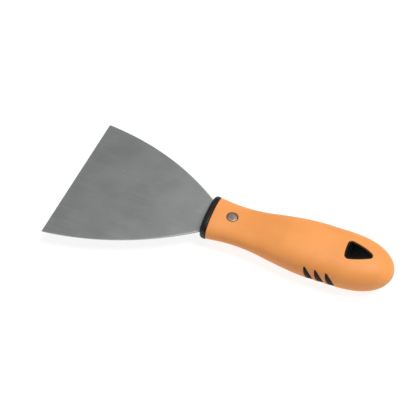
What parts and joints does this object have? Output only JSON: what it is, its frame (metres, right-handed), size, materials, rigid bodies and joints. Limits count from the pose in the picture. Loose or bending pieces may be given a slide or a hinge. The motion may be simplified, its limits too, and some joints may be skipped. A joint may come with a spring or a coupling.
{
  "type": "flexible putty knife",
  "caption": "Flexible putty knife: wide ground steel blade on a riveted tang, black collar, moulded orange grip with a lined hang hole.",
  "frame": {"origin": "centre of the knife's box, on the blade's mid-plane", "axes": "+X along the knife from the tail of the grip to the blade's edge, +Y across the blade, +Z through the thickness"},
  "size_m": [0.2138, 0.1, 0.0232],
  "materials": {
    "blade_steel": "satin ground steel",
    "rivet_steel": "dull pressed head",
    "grip_orange": "smooth satin elastomer",
    "core_black": "semi-matt moulded plastic"
  },
  "bodies": {
    "handle": {"handle_core": "core_black", "bolster_collar": "core_black", "grip_overmould": "grip_orange", "hang_hole_liner": "core_black", "rivet_pin": "rivet_steel", "rivet_tube": "rivet_steel", "grip_inlay_left_1": "core_black", "grip_inlay_left_2": "core_black", "grip_inlay_left_3": "core_black", "grip_inlay_right_1": "core_black", "grip_inlay_right_2": "core_black", "grip_inlay_right_3": "core_black"},
    "blade": {"blade": "blade_steel"}
  },
  "joints": [
    {"name": "blade_flex", "type": "hinge", "parent": "handle", "child": "blade", "pos_m": [0.0285, 0, 0], "axis": [0, 1, 0], "range_deg": [-20, 20], "stiffness_Nm_per_rad": 8.7, "deforming": ["blade"]}
  ]
}
